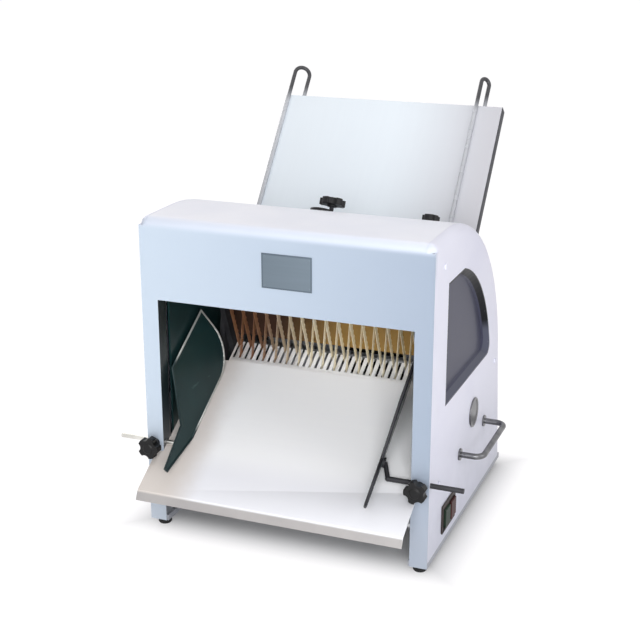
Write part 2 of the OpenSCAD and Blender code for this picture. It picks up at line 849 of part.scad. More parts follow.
// Five-lobed knob on a neck, standing on the plane z = 0
module star_knob(neck, t, d) {
    lobe = d / 2;
    cylinder(d = stud_d + 10, h = neck);
    translate([0, 0, neck]) linear_extrude(t) difference() {
        circle(lobe);
        for (i = [0 : 4]) rotate(72 * i) translate([lobe * 1.18, 0]) circle(lobe * 0.42);
    }
    translate([0, 0, neck + t]) cylinder(d1 = lobe, d2 = lobe * 0.8, h = 2);
}

module outlet_knob() translate([block_x(), 0, rod_z]) rotate([90, 0, 0]) {
    translate([0, 0, seam]) star_knob(neck_l, knob_t, knob_d);
    translate([0, 0, rod_d / 2 + seam - rod_y]) cylinder(d = stud_d, h = rod_y - rod_d / 2);
}

module left_outlet_knob() color(black) mirror([1, 0, 0]) outlet_knob();
module right_outlet_knob() color(black) outlet_knob();

// Puts what is drawn flat, with its upper edge on y = 0, on the slope of the chute
module on_chute() translate([0, chute_y, chute_z]) rotate([chute_slope, 0, 0]) children();

module loading_chute() color(steel) on_chute() {
    translate([-chute_half, -chute_l, -tray_t]) cube([chute_w, chute_l, tray_t]);
    both_sides() translate([chute_half - tray_t, -chute_l, -chute_side]) cube([tray_t, chute_l, chute_side]);
    translate([-chute_half, -tray_t, -chute_hem]) cube([chute_w, tray_t, chute_hem]);
}

// Blocks that hold the chute's folded sides between the side plates
module chute_spacers() color(iron) on_chute() both_sides() for (down = [0.6, 0.92])
    translate([chute_half, -down * chute_l, -chute_side])
        cube([plate_half - chute_half, 30, chute_side - tray_t]);

module chute_cross_rod() color(steel) on_chute()
    bar_x(-chute_half + tray_t, chute_half - tray_t, -cross_rod_in, cross_rod_z, loaf_d);

// Rod along the chute, hooked over its upper edge to a sleeve on the cross rod
module loaf_guide(x, side) on_chute() translate([x, 0, loaf_lift]) {
    rotate([-90, 0, 0]) translate([0, 0, -loaf_l])
        cylinder(d = loaf_d - 2 * hub_gap, h = loaf_l + hook_rise + hook_in);
    translate([0, -loaf_l, 0]) sphere(d = loaf_d);
    translate([side / 2, hook_rise, -hook_depth / 2]) rotate([0, hook_turn(side), 0])
        rotate_extrude(angle = 180) translate([hook_r(side), 0]) circle(d = loaf_d);
    translate([side, 0, -hook_depth]) difference() {
        union() {
            rotate([-90, 0, 0]) translate([0, 0, -cross_rod_in])
                cylinder(d = loaf_d - 2 * hub_gap, h = cross_rod_in + hook_rise + hook_in);
            bar_x(-sleeve_l / 2, sleeve_l / 2, -cross_rod_in, 0, loaf_d + 7);
        }
        bar_x(-sleeve_l, sleeve_l, -cross_rod_in, 0, loaf_d + 2 * run_gap);
    }
}

module left_loaf_guide() color(iron) loaf_guide(loaf_left, hook_left);
module right_loaf_guide() color(iron) loaf_guide(loaf_right, hook_right);

module loading_gate() color(steel) slab(-gate_half, gate_half) {
    curve_band(gate_r - sheet_t, gate_r, gate_low, gate_high);
    curve_band(gate_r - 14, gate_r, gate_low, gate_low + 0.4);
}

module gate_stud(x, lift) on_curve(x, gate_stud, gate_r)
    cylinder(d = stud_d, h = sheet_t + gate_gap + lift + gate_neck);

module gate_studs() color(steel) {
    gate_stud(gate_knob_l, gate_lift_l);
    gate_stud(gate_knob_r, gate_lift_r);
}

module gate_knob(x, lift, d) on_curve(x, gate_stud, back_r + lift) difference() {
    star_knob(gate_neck, gate_knob_t, d);
    translate([0, 0, -1]) cylinder(d = stud_d + 2 * run_gap, h = gate_neck + 1 + run_gap);
}

module left_gate_knob() color(black) gate_knob(gate_knob_l, gate_lift_l, gate_knob_dl);
module right_gate_knob() color(black) gate_knob(gate_knob_r, gate_lift_r, gate_knob_dr);

// Puts what is drawn upright, with the crossing line at z = 0, in a frame's lean
module leaning(angle) translate([0, cross_y, cross_z]) rotate([angle, 0, 0]) children();

// Places of the blades of one frame across the machine
function blade_places(first) = [for (i = [first : 2 : blade_n - 1]) i * slice - blade_span / 2];

module blade_frame(angle, up, down, bar_place, end) leaning(angle) difference() {
    union() {
        for (w = [up, -down]) translate([-end, -rail / 2, w - rail / 2]) cube([2 * end, rail, rail]);
        both_sides() translate([bar_place, -rail / 2, -down + rail / 2])
            cube([bar_t, rail, up + down - rail]);
    }
    for (x = blade_places(angle > 0 ? 0 : 1), w = [up - rail / 2, -down + rail / 2])
        translate([x, 0, w]) cube([blade_t + 2 * run_gap, blade_w + 2 * run_gap, clamp_h], center = true);
}

// Toothed outline of a blade, with its cutting edge towards the chute
module blade_outline(up, down) {
    low = -down + rail / 2 - clamp_h / 2;
    high = up - rail / 2 + clamp_h / 2;
    teeth = floor((high - low - 2 * clamp_h) / tooth_p);
    first = (low + high - teeth * tooth_p) / 2;
    polygon(concat(
        [[-blade_w / 2, low], [blade_w / 2, low]],
        [for (i = [0 : teeth - 1], j = [0, 0.3, 0.5, 0.7])
            [blade_w / 2 - tooth_d * sin(180 * j), first + (i + j) * tooth_p]],
        [[blade_w / 2, first + teeth * tooth_p], [blade_w / 2, high], [-blade_w / 2, high]]
    ));
}

module blades(angle, up, down) leaning(angle)
    for (x = blade_places(angle > 0 ? 0 : 1)) slab(x - blade_t / 2, x + blade_t / 2) blade_outline(up, down);

// A clamp over the root of each blade, on the inner face of both rails
module blade_clamps(angle, up, down) leaning(angle)
    for (x = blade_places(angle > 0 ? 0 : 1), w = [up - rail_edge, -down + rail_edge])
        translate([x, 0, w]) difference() {
            cube([slice / 2, rail, clamp_h], center = true);
            cube([blade_t + 2 * run_gap, blade_w + 2 * run_gap, 2 * clamp_h], center = true);
        }

module front_blade_frame() color(iron)
    blade_frame(front_lean, front_up, front_down, front_bar_x, front_end);
module rear_blade_frame() color(iron)
    blade_frame(-rear_lean, rear_up, rear_down, rear_bar_x, rear_end);
module front_blades() color(steel) blades(front_lean, front_up, front_down);
module rear_blades() color(steel) blades(-rear_lean, rear_up, rear_down);
module front_blade_clamps() color(steel) blade_clamps(front_lean, front_up, front_down);
module rear_blade_clamps() color(steel) blade_clamps(-rear_lean, rear_up, rear_down);

module crankshaft() color(steel) bar_x(-shaft_half, shaft_half, crank_y, crank_z, shaft_d);

module shaft_bearings() color(iron) both_sides() difference() {
    union() {
        bar_x(plate_half - 14, plate_half, crank_y, crank_z, 52);
        slab(plate_half - 6, plate_half) translate([crank_y, crank_z]) square([64, 64], center = true);
    }
    bar_x(plate_half - 15, plate_half + 1, crank_y, crank_z, shaft_d + 2 * run_gap);
}

module eccentrics(x, side) both_sides() difference() {
    bar_x(x, x + rod_t, crank_y + side * stroke, crank_z, 2 * sheave_r);
    bar_x(x - 1, x + rod_t + 1, crank_y, crank_z, shaft_d + 2 * hub_gap);
}

module front_eccentrics() color(steel) eccentrics(front_rod_x, 1);
module rear_eccentrics() color(steel) eccentrics(rear_rod_x, -1);

// Place of the end of a frame's lower rail, as depth and height
function wrist(angle, down) = [cross_y + down * sin(angle), cross_z - down * cos(angle)];

// Rod from an eccentric's strap up to the eye beside a frame's lower rail
module rods(x, side, eye) both_sides() slab(x, x + rod_t) difference() {
    foot = [crank_y + side * stroke, crank_z];
    union() {
        translate(foot) circle(sheave_r + strap_w);
        translate(eye) circle(d = 2 * wrist_d);
        translate(foot) rotate(atan2(eye[1] - foot[1], eye[0] - foot[0]))
            translate([0, -shank_w / 2]) square([norm(eye - foot), shank_w]);
    }
    translate(foot) circle(sheave_r + run_gap);
    translate(eye) circle(d = wrist_d + 2 * hub_gap);
}

module front_rods() color(iron) rods(front_rod_x, 1, wrist(front_lean, front_down));
module rear_rods() color(iron) rods(rear_rod_x, -1, wrist(-rear_lean, rear_down));

module wrist_pins(x, eye) both_sides() bar_x(x, x + rod_t, eye[0], eye[1], wrist_d);

module front_wrist_pins() color(steel) wrist_pins(front_rod_x, wrist(front_lean, front_down));
module rear_wrist_pins() color(steel) wrist_pins(rear_rod_x, wrist(-rear_lean, rear_down));

// Grooved pulley along X around the origin, with a bore
module pulley(r, bore) rotate([0, 90, 0]) difference() {
    translate([0, 0, -pulley_w / 2]) cylinder(r = r + belt_t / 2 + 1, h = pulley_w);
    difference() {
        translate([0, 0, -belt_w / 2 - seam]) cylinder(r = r + belt_t, h = belt_w + 2 * seam);
        translate([0, 0, -belt_w]) cylinder(r = r - belt_t / 2 - seam, h = 2 * belt_w);
    }
    translate([0, 0, -pulley_w]) cylinder(d = bore + 2 * hub_gap, h = 2 * pulley_w);
}

module crank_pulley() color(iron) translate([-belt_x, crank_y, crank_z]) pulley(big_r, shaft_d);
module motor_pulley() color(iron) translate([-belt_x, motor_y, motor_z]) pulley(small_r, motor_shaft_d);

// Outline of the belt's run around both pulleys, grown by d
module belt_run(d) {
    span = norm([motor_y - crank_y, motor_z - crank_z]);
    tilt = atan2(motor_z - crank_z, motor_y - crank_y);
    a = acos((big_r - small_r) / span);
    translate([crank_y, crank_z]) rotate(tilt) {
        circle(big_r + d);
        translate([span, 0]) circle(small_r + d);
        polygon([
            [(big_r + d) * cos(a), (big_r + d) * sin(a)],
            [(big_r + d) * cos(a), -(big_r + d) * sin(a)],
            [span + (small_r + d) * cos(a), -(small_r + d) * sin(a)],
            [span + (small_r + d) * cos(a), (small_r + d) * sin(a)]
        ]);
    }
}

module drive_belt() color(black) slab(-belt_x - belt_w / 2, -belt_x + belt_w / 2) difference() {
    belt_run(belt_t / 2);
    belt_run(-belt_t / 2);
}

module motor() color(iron) {
    flange = motor_d + 2 * fin_h;
    difference() {
        union() {
            bar_x(-motor_x, motor_l - motor_x, motor_y, motor_z, motor_d);
            for (x = [-motor_x, motor_l - motor_x - 12]) bar_x(x, x + 12, motor_y, motor_z, flange);
            for (a = [0 : 15 : 345]) translate([-motor_x, motor_y, motor_z]) rotate([a, 0, 0])
                translate([0, -1, 0]) cube([motor_l, 2, flange / 2 - 0.5]);
            for (x = [-motor_x, motor_l - motor_x - 30]) translate([x, motor_y - 70, base_z])
                cube([30, 140, 12]);
            for (x = [-motor_x + 10, motor_l - motor_x - 20]) translate([x, motor_y - 40, base_z])
                cube([10, 80, motor_z - base_z]);
            translate([-motor_x + 60, motor_y - 35, motor_z + motor_d / 2 - 5]) cube([80, 70, 40]);
        }
        bar_x(-motor_x - 1, -motor_x + 60, motor_y, motor_z, motor_shaft_d + 2 * run_gap);
    }
}

module motor_shaft() color(steel)
    bar_x(-belt_x - pulley_w / 2, -motor_x + 58, motor_y, motor_z, motor_shaft_d);

place() base_pan();
place() feet();
place() left_side_plate();
place() right_side_plate();
place() tie_bars();
place() front_panel();
place() rear_panel();
place() left_cover();
place() right_cover();
place() cover_spacers();
place() cover_screws();
place() left_window();
place() right_window();
place() left_handle();
place() right_handle();
place() side_cap();
place() cable_gland();
place() switch_box();
place() start_button();
place() stop_button();
place() outlet_tray();
place() left_rod_block();
place() right_rod_block();
place() left_guide_rod();
place() left_guide_plate();
place() right_guide_rod();
place() right_guide_plate();
place() left_outlet_knob();
place() right_outlet_knob();
place() loading_chute();
place() chute_spacers();
place() chute_cross_rod();
place() left_loaf_guide();
place() right_loaf_guide();
place() loading_gate();
place() gate_studs();
place() left_gate_knob();
place() right_gate_knob();
place() front_blade_frame();
place() front_blades();
place() front_blade_clamps();
place() rear_blade_frame();
place() rear_blades();
place() rear_blade_clamps();
place() crankshaft();
place() shaft_bearings();
place() front_eccentrics();
place() rear_eccentrics();
place() front_rods();
place() rear_rods();
place() front_wrist_pins();
place() rear_wrist_pins();
place() crank_pulley();
place() motor();
place() motor_shaft();
place() motor_pulley();
place() drive_belt();
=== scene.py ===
import json
import math

import bmesh
import bpy
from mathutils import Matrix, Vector


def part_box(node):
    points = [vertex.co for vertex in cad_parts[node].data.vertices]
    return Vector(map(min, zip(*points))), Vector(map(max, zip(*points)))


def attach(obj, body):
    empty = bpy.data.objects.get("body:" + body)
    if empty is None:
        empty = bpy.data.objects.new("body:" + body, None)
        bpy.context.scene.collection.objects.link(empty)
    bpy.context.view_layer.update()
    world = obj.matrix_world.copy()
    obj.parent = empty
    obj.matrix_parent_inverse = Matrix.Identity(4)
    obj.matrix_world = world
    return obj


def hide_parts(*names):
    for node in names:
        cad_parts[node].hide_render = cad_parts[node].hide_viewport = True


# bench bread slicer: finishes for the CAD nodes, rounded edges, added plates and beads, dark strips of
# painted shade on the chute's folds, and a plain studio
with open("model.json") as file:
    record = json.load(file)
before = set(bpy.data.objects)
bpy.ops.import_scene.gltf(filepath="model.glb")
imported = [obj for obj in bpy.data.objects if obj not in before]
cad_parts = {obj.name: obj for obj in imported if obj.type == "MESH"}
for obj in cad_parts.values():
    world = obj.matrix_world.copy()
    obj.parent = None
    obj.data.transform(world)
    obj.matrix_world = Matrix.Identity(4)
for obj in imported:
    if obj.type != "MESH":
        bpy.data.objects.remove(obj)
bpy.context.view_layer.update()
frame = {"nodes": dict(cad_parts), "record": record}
print("frame loaded:", len(frame["nodes"]), "nodes")


def tone(red, green, blue):
    # screen colour 0 to 255 as the linear colour that a shader takes
    parts = [c / 255 for c in (red, green, blue)]
    return tuple(c / 12.92 if c <= 0.04045 else ((c + 0.055) / 1.055) ** 2.4 for c in parts) + (1.0,)


class Value:
    # one socket of a finish; sums and products of it add Math nodes
    def __init__(self, finish, plug):
        self.finish = finish
        self.plug = plug

    def __add__(self, other):
        return self.finish.maths("ADD", self, other)

    def __radd__(self, other):
        return self.finish.maths("ADD", other, self)

    def __sub__(self, other):
        return self.finish.maths("SUBTRACT", self, other)

    def __rsub__(self, other):
        return self.finish.maths("SUBTRACT", other, self)

    def __mul__(self, other):
        return self.finish.maths("MULTIPLY", self, other)

    def __rmul__(self, other):
        return self.finish.maths("MULTIPLY", other, self)


class Finish:
    def __init__(self, name, **fixed):
        self.skin = bpy.data.materials.new(name)
        self.skin.use_nodes = True
        self.tree = self.skin.node_tree
        self.shader = self.tree.nodes["Principled BSDF"]
        self.coords = self.tree.nodes.new("ShaderNodeTexCoord")
        for socket, value in fixed.items():
            self.shader.inputs[socket.replace("_", " ")].default_value = value

    def node(self, kind, settings=None, sockets=None, out=0):
        made = self.tree.nodes.new(kind)
        for key, value in (settings or {}).items():
            setattr(made, key, value)
        for key, value in (sockets or {}).items():
            self.feed(made.inputs[key], value)
        return Value(self, made.outputs[out])

    def feed(self, plug, value):
        if isinstance(value, Value):
            self.tree.links.new(value.plug, plug)
        else:
            plug.default_value = value

    def maths(self, operation, a, b):
        return self.node("ShaderNodeMath", {"operation": operation}, {0: a, 1: b})

    def spot(self):
        return Value(self, self.coords.outputs["Object"])

    def noise(self, scale, detail=3.0, rough=0.5, stretch=(1, 1, 1)):
        place = self.node("ShaderNodeMapping", None, {"Vector": self.spot(), "Scale": stretch})
        sockets = {"Vector": place, "Scale": scale, "Detail": detail, "Roughness": rough}
        return self.node("ShaderNodeTexNoise", None, sockets)

    def between(self, value, low, high):
        # 0 below low, 1 above high, smooth between them
        sockets = {"Value": value, "From Min": low, "From Max": high}
        return self.node("ShaderNodeMapRange", {"interpolation_type": "SMOOTHSTEP"}, sockets)

    def mix(self, factor, a, b):
        return self.node("ShaderNodeMix", {"data_type": "RGBA"}, {0: factor, 6: a, 7: b}, 2)

    def along(self, axis):
        # Object coordinate 0, 1 or 2: across, front to back, height
        return self.node("ShaderNodeSeparateXYZ", None, {0: self.spot()}, axis)

    def bump(self, value, strength, depth):
        sockets = {"Height": value, "Strength": strength, "Distance": depth}
        self.feed(self.shader.inputs["Normal"], self.node("ShaderNodeBump", None, sockets))

    def wear(self, **sockets):
        for socket, value in sockets.items():
            self.feed(self.shader.inputs[socket.replace("_", " ")], value)
        return self


# where the paint changes, in metres: the front face, the fold above it and the inside of the legs,
# which carry painted shade, and the greyer height above the floor
paintZones = {
    "face": (-0.2664, -0.2630), "faceTop": (0.568, 0.581),
    "fold": (-0.2664, -0.2500), "foldHeight": (0.5, 0.57),
    "legInside": (0.2351, 0.2354), "legTop": (0.4412, 0.4418), "nearFloor": (0.0, 0.28),
}


# baked paint with a fine orange peel, a little greyer towards the floor, and painted shade on the fold
# above the front; where the front face's tones are given, also painted shade on the front face and
# inside the legs
def bakedPaint(name, light, shade, gloss, faceShade=None):
    zones = paintZones
    paint = Finish(name, Coat_Weight=0.06, Coat_Roughness=0.3)
    across = paint.along(0)
    depth = paint.along(1)
    height = paint.along(2)
    cloud = paint.noise(5.0, 4.0, 0.55)
    peel = paint.noise(700.0, 2.0, 0.5)
    nearFloor = 1.0 - paint.between(height, *zones["nearFloor"])
    lowBlotches = nearFloor * paint.noise(22.0, 5.0, 0.65)
    colour = paint.mix(paint.between(cloud, 0.3, 0.72), light, shade)
    # painted shade: the fold above the front is painted greyer and bluer than the paint around it
    fold = (1.0 - paint.between(depth, *zones["fold"])) * paint.between(height, *zones["foldHeight"])
    colour = paint.mix(0.8 * fold, colour, tone(200, 209, 224))
    if faceShade:
        # painted shade: the front face is bluer and darker than the roof, and darkens from left to
        # right
        face = 1.0 - paint.between(depth, *zones["face"])
        face = face * (1.0 - paint.between(height, *zones["faceTop"]))
        colour = paint.mix(face, colour, paint.mix(across * 1.4 + 0.5, *faceShade))
        # painted shade: inside the legs and below the header the paint is near black
        outside = paint.between(across * across, *(x ** 2 for x in zones["legInside"]))
        above = paint.between(height, *zones["legTop"])
        colour = paint.mix((1.0 - outside) * (1.0 - above), colour, tone(24, 34, 36))
    # greyer towards the floor, in blotches
    colour = paint.mix(0.3 * nearFloor + 0.35 * lowBlotches, colour, tone(172, 175, 183))
    paint.bump(peel, 0.16, 0.00025)
    return paint.wear(Base_Color=colour, Roughness=gloss + 0.12 * cloud + 0.14 * lowBlotches)


# steel sheet or bar brushed along one direction
def brushedSteel(name, light, shade, gloss, stretch, metal=1.0, recolour=None):
    steel = Finish(name, Metallic=metal)
    grain = steel.noise(90.0, 5.0, 0.7, stretch)
    fine = steel.noise(320.0, 3.0, 0.6, stretch)
    cloud = steel.noise(4.0, 3.0, 0.5)
    marks = steel.between(steel.noise(38.0, 2.0, 0.4, stretch), 0.66, 0.72)
    colour = steel.mix(0.55 * grain + 0.45 * cloud, light, shade)
    if recolour:
        colour = recolour(steel, colour)
    steel.bump(0.6 * grain + 0.4 * fine, 0.10, 0.0002)
    return steel.wear(Base_Color=colour, Roughness=gloss + 0.14 * grain + 0.08 * cloud + 0.06 * marks)


trayZones = {"guideShade": (-0.225, -0.15), "apron": (-0.30, -0.24), "lip": (-0.3475, -0.3455)}


# the tray: brownish painted shade and reflection along its left guide, painted light behind the apron,
# and its folded lip painted grey in blotches
def trayPaintedShade(steel, colour):
    zones = trayZones
    # painted shade and reflection of the left guide, brownish, on the tray's left side
    guideShade = 1.0 - steel.between(steel.along(0) - 0.05 * steel.noise(7.0, 4.0, 0.6), *zones["guideShade"])
    colour = steel.mix(0.6 * guideShade, colour, tone(186, 170, 158))
    # painted light: the tray behind the apron is painted whiter than the apron, to make up for the
    # shade under the header
    apron = 1.0 - steel.between(steel.along(1), *zones["apron"])
    colour = steel.mix(apron, colour, steel.mix(guideShade, tone(236, 236, 241), tone(212, 204, 198)))
    # the lip's front face is painted grey in blotches
    lip = 1.0 - steel.between(steel.along(1), *zones["lip"])
    rubbed = steel.noise(14.0, 4.0, 0.6)
    return steel.mix(lip, colour, steel.mix(rubbed, tone(178, 174, 172), tone(154, 150, 150)))


chuteZones = {"greyer": (0.0, 0.25), "shadedEnd": (0.42, 0.47), "golden": (-0.08, 0.08)}


# the chute, greyer to the right as painted shade; its lower end, behind the blades, is painted dark
# brown on its left as shade and golden on its right as warm light
def chuteShading(steel, colour):
    zones = chuteZones
    # painted shade: the chute's right side is painted greyer
    colour = steel.mix(steel.between(steel.along(0), *zones["greyer"]), colour, tone(198, 197, 203))
    # painted shade and light at the chute's lower end: dark brown on the left, golden on the right
    low = 1.0 - steel.between(steel.along(2) + 0.02 * steel.noise(20.0, 4.0, 0.6), *zones["shadedEnd"])
    right = steel.between(steel.along(0) + 0.08 * steel.noise(9.0, 3.0, 0.5), *zones["golden"])
    return steel.mix(low, colour, steel.mix(right, tone(76, 52, 40), tone(172, 136, 76)))


# bright drawn rod
def drawnRod(name, light, shade, gloss):
    rod = Finish(name, Metallic=1.0)
    drawn = rod.noise(160.0, 3.0, 0.6, (0.06, 1, 1))
    rubbed = rod.noise(26.0, 4.0, 0.6)
    colour = rod.mix(rod.between(rubbed, 0.35, 0.7), light, shade)
    rod.bump(drawn, 0.08, 0.0002)
    return rod.wear(Base_Color=colour, Roughness=gloss + 0.12 * rubbed + 0.06 * drawn)


# drawn rod, dipped in dark plastic above a level and blended over a height
def dippedRod(name, level, blend):
    rod = Finish(name, Metallic=0.2)
    drawn = rod.noise(160.0, 3.0, 0.6)
    rubbed = rod.noise(26.0, 4.0, 0.6)
    dip = rod.between(rod.along(2) + 0.01 * rubbed, level, level + blend)
    steel = rod.mix(rubbed, tone(190, 192, 197), tone(168, 170, 176))
    dark = rod.mix(rubbed, tone(70, 70, 73), tone(50, 50, 53))
    rod.bump(drawn, 0.08, 0.0002)
    return rod.wear(Base_Color=rod.mix(dip, steel, dark), Roughness=0.22 + 0.1 * rubbed + 0.12 * dip)


rimZones = {"bright": (-0.226, -0.2)}


# bead of a slice guide: bright along the bread, enamelled at the front edge
def rimSteel(name):
    rim = Finish(name, Metallic=0.5)
    rubbed = rim.noise(60.0, 4.0, 0.6)
    back = rim.between(rim.along(1) + 0.01 * rubbed, *rimZones["bright"])
    steel = rim.mix(rubbed, tone(214, 214, 210), tone(168, 170, 168))
    return rim.wear(Base_Color=rim.mix(back, tone(26, 44, 46), steel), Roughness=0.3 + 0.15 * rubbed)


# rough casting, painted thinly
def castMetal(name, light, shade, metal):
    cast = Finish(name, Metallic=metal)
    sand = cast.noise(260.0, 4.0, 0.7)
    recolour = cast.noise(14.0, 5.0, 0.6)
    colour = cast.mix(cast.between(recolour, 0.32, 0.7), light, shade)
    cast.bump(sand, 0.35, 0.0005)
    return cast.wear(Base_Color=colour, Roughness=0.42 + 0.2 * sand + 0.1 * recolour)


# moulded plastic with a spark-eroded grain, polished where hands touch it
def mouldedPlastic(name, light, shade, gloss):
    plastic = Finish(name, Specular_IOR_Level=0.3)
    grain = plastic.noise(900.0, 2.0, 0.5)
    rubbed = plastic.noise(30.0, 4.0, 0.6)
    colour = plastic.mix(plastic.between(rubbed, 0.3, 0.75), light, shade)
    plastic.bump(grain, 0.22, 0.00025)
    return plastic.wear(Base_Color=colour, Roughness=gloss + 0.16 * rubbed + 0.08 * grain)


windowZones = {"rim": (0.2573, 0.2585), "darkRim": (0.33, 0.36)}


# smoked acrylic: a dark clear-coated sheet with faint wiping marks; its rim carries painted shade,
# darkest at the top, and painted light lower down
def smokedSheet(name):
    sheet = Finish(name, Coat_Roughness=0.12, Specular_IOR_Level=0.06)
    wiped = sheet.noise(9.0, 5.0, 0.65, (1, 0.35, 1))
    specks = sheet.between(sheet.noise(240.0, 2.0, 0.5), 0.68, 0.75)
    colour = sheet.mix(wiped, tone(56, 57, 75), tone(67, 68, 87))
    across = sheet.along(0)
    rim = sheet.between(across * across, *(x ** 2 for x in windowZones["rim"]))
    high = sheet.between(sheet.along(2), *windowZones["darkRim"])
    # painted shade of the recess on the rim at the top, painted light on the rim lower down
    colour = sheet.mix(rim, colour, sheet.mix(high, tone(84, 86, 101), tone(13, 14, 21)))
    colour = sheet.mix(0.25 * specks, colour, tone(140, 140, 150))
    shine = 0.3 + 0.1 * wiped + 0.15 * specks
    return sheet.wear(Base_Color=colour, Roughness=shine, Coat_Weight=0.08 + 0.06 * wiped)


# dark teal paint of the side plates and the slice guides: partly their own colour, partly painted shade
# standing for the dark inside of the opening
def darkEnamelAndShade(name):
    enamelAndShade = Finish(name, Coat_Roughness=0.15, Specular_IOR_Level=0.25)
    flow = enamelAndShade.noise(16.0, 4.0, 0.55)
    scratch = enamelAndShade.between(enamelAndShade.noise(60.0, 3.0, 0.6, (1, 0.15, 1)), 0.66, 0.74)
    colour = enamelAndShade.mix(flow, tone(15, 36, 38), tone(26, 52, 53))
    colour = enamelAndShade.mix(0.3 * scratch, colour, tone(86, 108, 108))
    enamelAndShade.bump(enamelAndShade.noise(420.0, 2.0, 0.5), 0.12, 0.0002)
    return enamelAndShade.wear(Base_Color=colour, Roughness=0.26 + 0.14 * flow, Coat_Weight=0.12 + 0.1 * flow)


bladeZones = {"straw": (-0.12, 0.02)}


# blades: bright edge steel with a straw tint on the right, browner to the left as painted shade, and
# white streaks on the right as painted glints
def shadedBladeSteel(name):
    blade = Finish(name, Metallic=0.05)
    ground = blade.noise(240.0, 3.0, 0.6, (1, 0.2, 0.2))
    bladeMottle = blade.noise(18.0, 3.0, 0.5)
    straw = blade.mix(bladeMottle, tone(255, 250, 232), tone(254, 238, 196))
    # painted shade: the blades are brown to the left
    brown = blade.mix(bladeMottle, tone(166, 118, 84), tone(124, 84, 60))
    right = blade.between(blade.along(0) + 0.06 * bladeMottle, *bladeZones["straw"])
    colour = blade.mix(right, brown, straw)
    # painted glints: near-white streaks on the right of the blades
    colour = blade.mix(right * blade.between(ground, 0.5, 0.75), colour, tone(252, 246, 230))
    blade.bump(ground, 0.10, 0.0001)
    return blade.wear(Base_Color=colour, Roughness=0.2 + 0.12 * ground + 0.08 * bladeMottle)


# rubber with a matt bloom
def bloomedRubber(name):
    rubber = Finish(name, Specular_IOR_Level=0.3)
    bloom = rubber.noise(60.0, 5.0, 0.6)
    colour = rubber.mix(rubber.between(bloom, 0.35, 0.75), tone(22, 22, 23), tone(44, 44, 46))
    rubber.bump(rubber.noise(500.0, 3.0, 0.6), 0.25, 0.0003)
    return rubber.wear(Base_Color=colour, Roughness=0.72 + 0.14 * bloom)


finishes = {
    "panelPaint": bakedPaint("panelPaint", tone(243, 243, 251), tone(236, 237, 247), 0.3,
                             (tone(200, 213, 227), tone(142, 154, 172))),
    "rearPaint": bakedPaint("rearPaint", tone(243, 243, 251), tone(236, 237, 247), 0.3),
    "coverPaint": bakedPaint("coverPaint", tone(230, 230, 243), tone(223, 223, 238), 0.44),
    # painted shade: the base pan is grey, standing for the shaded gap under the covers
    "baseShadeGrey": bakedPaint("baseShadeGrey", tone(150, 151, 158), tone(136, 137, 145), 0.4),
    "smoked": smokedSheet("smokedAcrylic"),
    "trayPlate": brushedSteel("trayPlate", tone(255, 255, 255), tone(249, 249, 252), 0.36,
                              (0.04, 1, 1), 0.04, trayPaintedShade),
    "chutePlate": brushedSteel("chutePlate", tone(233, 240, 246), tone(226, 233, 240), 0.36,
                               (1, 0.04, 0.04), 0.06, chuteShading),
    "plainSteel": brushedSteel("plainSteel", tone(206, 207, 208), tone(178, 180, 183), 0.24,
                               (0.05, 1, 1)),
    "brightRod": drawnRod("brightRod", tone(236, 234, 228), tone(212, 210, 204), 0.2),
    "greyRod": drawnRod("greyRod", tone(122, 122, 124), tone(92, 92, 95), 0.24),
    "rimSteel": rimSteel("rimSteel"),
    "darkRod": castMetal("darkRod", tone(58, 58, 62), tone(42, 42, 46), 0.5),
    "dippedRod": dippedRod("dippedRod", 0.715, 0.03),
    "enamelAndShade": darkEnamelAndShade("darkEnamelAndShade"),
    "iron": castMetal("machineIron", tone(52, 52, 55), tone(34, 34, 37), 0.4),
    "alloy": castMetal("motorAlloy", tone(150, 154, 158), tone(120, 124, 129), 0.6),
    "blade": shadedBladeSteel("bladeSteel"),
    "blackPlastic": mouldedPlastic("blackPlastic", tone(10, 10, 11), tone(20, 20, 22), 0.32),
    "switchPlastic": mouldedPlastic("switchPlastic", tone(42, 34, 33), tone(58, 48, 46), 0.4),
    "green": mouldedPlastic("startGreen", tone(14, 32, 21), tone(20, 42, 28), 0.4),
    "red": mouldedPlastic("stopRed", tone(52, 16, 15), tone(64, 21, 20), 0.4),
    "rubber": bloomedRubber("footRubber"),
    # painted shade: the dark strips on the chute's folds
    "flangeShade": mouldedPlastic("flangeShade", tone(74, 75, 80), tone(58, 59, 64), 0.5),
}
print("finishes made:", len(finishes))

wears = {
    "panelPaint": ["front_panel"],
    "rearPaint": ["rear_panel"],
    "baseShadeGrey": ["base_pan"],
    "coverPaint": ["left_cover", "right_cover"],
    "smoked": ["left_window", "right_window"],
    "trayPlate": ["outlet_tray"],
    "chutePlate": ["loading_chute", "loading_gate"],
    "plainSteel": [
        "tie_bars", "cover_screws", "chute_cross_rod", "crankshaft", "front_eccentrics",
        "rear_eccentrics", "front_wrist_pins", "rear_wrist_pins", "motor_shaft",
    ],
    "brightRod": ["left_guide_rod"],
    "greyRod": ["left_handle", "right_handle", "side_cap"],
    "darkRod": ["right_guide_rod", "gate_studs"],
    "dippedRod": ["left_loaf_guide", "right_loaf_guide"],
    "enamelAndShade": ["left_side_plate", "right_side_plate", "left_guide_plate", "right_guide_plate"],
    "iron": [
        "cover_spacers", "left_rod_block", "right_rod_block", "chute_spacers", "front_blade_frame",
        "rear_blade_frame", "front_blade_clamps", "rear_blade_clamps", "shaft_bearings", "front_rods",
        "rear_rods", "crank_pulley", "motor_pulley",
    ],
    "alloy": ["motor"],
    "blade": ["front_blades", "rear_blades"],
    "blackPlastic": [
        "cable_gland", "left_outlet_knob", "right_outlet_knob", "left_gate_knob", "right_gate_knob",
    ],
    "switchPlastic": ["switch_box"],
    "green": ["start_button"],
    "red": ["stop_button"],
    "rubber": ["feet", "drive_belt"],
}
bodies = frame["record"]["behaviour"]["bodies"]
